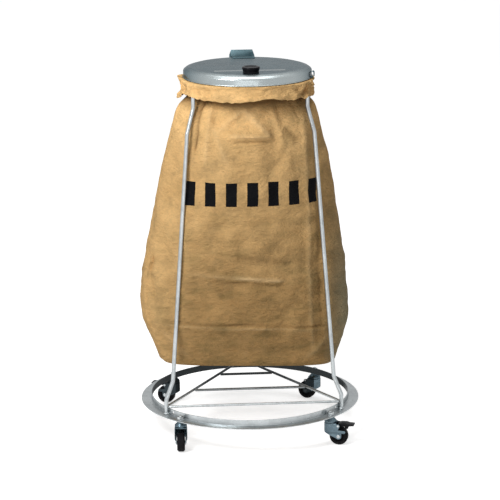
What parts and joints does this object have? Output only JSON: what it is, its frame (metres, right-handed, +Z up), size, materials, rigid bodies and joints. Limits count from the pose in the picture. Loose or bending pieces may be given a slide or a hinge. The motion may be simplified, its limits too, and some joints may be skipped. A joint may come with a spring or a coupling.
{
  "type": "bin bag holder",
  "caption": "Wheeled stand that holds a large paper bin bag open: rod tripod on an angle-steel base ring, swivel castors and a hinged round lid with a knob.",
  "frame": {"origin": "on the floor below the centre of the base ring", "axes": "+Z up, front with the lid's knob towards -Y, +X to the right as seen from the front"},
  "size_m": [0.6, 0.6, 1.018],
  "materials": {
    "galvanised_steel": "galvanised, slightly bright",
    "lid_steel": "blue-grey sheet, satin",
    "blue_zinc": "bluish zinc plate",
    "kraft_paper": "tan kraft paper, matt",
    "black_rubber": "matt",
    "black_plastic": "satin"
  },
  "bodies": {
    "stand": {"base_ring": "galvanised_steel", "leg_left": "galvanised_steel", "leg_right": "galvanised_steel", "leg_rear": "galvanised_steel", "grid_rod_front": "galvanised_steel", "grid_arm_left": "galvanised_steel", "grid_arm_right": "galvanised_steel", "grid_cross_rod_1": "galvanised_steel", "grid_cross_rod_2": "galvanised_steel", "top_ring": "galvanised_steel", "sack": "kraft_paper", "hinge_bracket": "lid_steel", "hinge_pin": "galvanised_steel", "castor_front_left_stud": "galvanised_steel", "castor_front_left_race": "blue_zinc", "castor_front_left_washer": "galvanised_steel", "castor_front_left_nut": "galvanised_steel", "castor_front_right_stud": "galvanised_steel", "castor_front_right_race": "blue_zinc", "castor_front_right_washer": "galvanised_steel", "castor_front_right_nut": "galvanised_steel", "castor_rear_right_stud": "galvanised_steel", "castor_rear_right_race": "blue_zinc", "castor_rear_right_washer": "galvanised_steel", "castor_rear_right_nut": "galvanised_steel", "castor_rear_left_stud": "galvanised_steel", "castor_rear_left_race": "blue_zinc", "castor_rear_left_washer": "galvanised_steel", "castor_rear_left_nut": "galvanised_steel"},
    "lid": {"lid": "lid_steel", "lid_knob": "black_plastic", "lid_knob_screw": "galvanised_steel", "lid_side_catch": "lid_steel", "hinge_leaf": "lid_steel", "hinge_rivet_left": "lid_steel", "hinge_rivet_right": "lid_steel"},
    "castor_front_left_swivel": {"castor_front_left_fork": "blue_zinc", "castor_front_left_axle": "galvanised_steel"},
    "castor_front_left_wheel": {"castor_front_left_hub": "black_plastic", "castor_front_left_tyre": "black_rubber"},
    "castor_front_right_swivel": {"castor_front_right_fork": "blue_zinc", "castor_front_right_axle": "galvanised_steel", "castor_front_right_lever_pin": "galvanised_steel"},
    "castor_front_right_wheel": {"castor_front_right_hub": "black_plastic", "castor_front_right_tyre": "black_rubber"},
    "castor_front_right_brake": {"castor_front_right_brake_lever": "black_plastic"},
    "castor_rear_right_swivel": {"castor_rear_right_fork": "blue_zinc", "castor_rear_right_axle": "galvanised_steel"},
    "castor_rear_right_wheel": {"castor_rear_right_hub": "black_plastic", "castor_rear_right_tyre": "black_rubber"},
    "castor_rear_left_swivel": {"castor_rear_left_fork": "blue_zinc", "castor_rear_left_axle": "galvanised_steel", "castor_rear_left_lever_pin": "galvanised_steel"},
    "castor_rear_left_wheel": {"castor_rear_left_hub": "black_plastic", "castor_rear_left_tyre": "black_rubber"},
    "castor_rear_left_brake": {"castor_rear_left_brake_lever": "black_plastic"}
  },
  "joints": [
    {"name": "lid_hinge", "type": "hinge", "parent": "stand", "child": "lid", "pos_m": [0, 0.189, 0.9885], "axis": [-1, 0, 0], "range_deg": [0, 96]},
    {"name": "castor_front_left_turn", "type": "hinge", "parent": "stand", "child": "castor_front_left_swivel", "pos_m": [-0.2017, -0.2017, 0.062], "axis": [0, 0, 1], "continuous": true},
    {"name": "castor_front_left_roll", "type": "hinge", "parent": "castor_front_left_swivel", "child": "castor_front_left_wheel", "pos_m": [-0.20291, -0.22467, 0.025], "axis": [0.9986, -0.0523, 0], "continuous": true},
    {"name": "castor_front_right_turn", "type": "hinge", "parent": "stand", "child": "castor_front_right_swivel", "pos_m": [0.2017, -0.2017, 0.062], "axis": [0, 0, 1], "continuous": true},
    {"name": "castor_front_right_roll", "type": "hinge", "parent": "castor_front_right_swivel", "child": "castor_front_right_wheel", "pos_m": [0.22381, -0.20804, 0.025], "axis": [0.2756, 0.9613, 0], "continuous": true},
    {"name": "castor_front_right_brake_press", "type": "hinge", "parent": "castor_front_right_swivel", "child": "castor_front_right_brake", "pos_m": [0.22333, -0.2079, 0.0553], "axis": [0.2756, 0.9613, 0], "range_deg": [0, 15]},
    {"name": "castor_rear_right_turn", "type": "hinge", "parent": "stand", "child": "castor_rear_right_swivel", "pos_m": [0.2017, 0.2017, 0.062], "axis": [0, 0, 1], "continuous": true},
    {"name": "castor_rear_right_roll", "type": "hinge", "parent": "castor_rear_right_swivel", "child": "castor_rear_right_wheel", "pos_m": [0.18139, 0.2125, 0.025], "axis": [-0.4695, -0.8829, 0], "continuous": true},
    {"name": "castor_rear_left_turn", "type": "hinge", "parent": "stand", "child": "castor_rear_left_swivel", "pos_m": [-0.2017, 0.2017, 0.062], "axis": [0, 0, 1], "continuous": true},
    {"name": "castor_rear_left_roll", "type": "hinge", "parent": "castor_rear_left_swivel", "child": "castor_rear_left_wheel", "pos_m": [-0.22303, 0.21032, 0.025], "axis": [-0.3746, -0.9272, 0], "continuous": true},
    {"name": "castor_rear_left_brake_press", "type": "hinge", "parent": "castor_rear_left_swivel", "child": "castor_rear_left_brake", "pos_m": [-0.22256, 0.21013, 0.0553], "axis": [-0.3746, -0.9272, 0], "range_deg": [0, 15]}
  ]
}
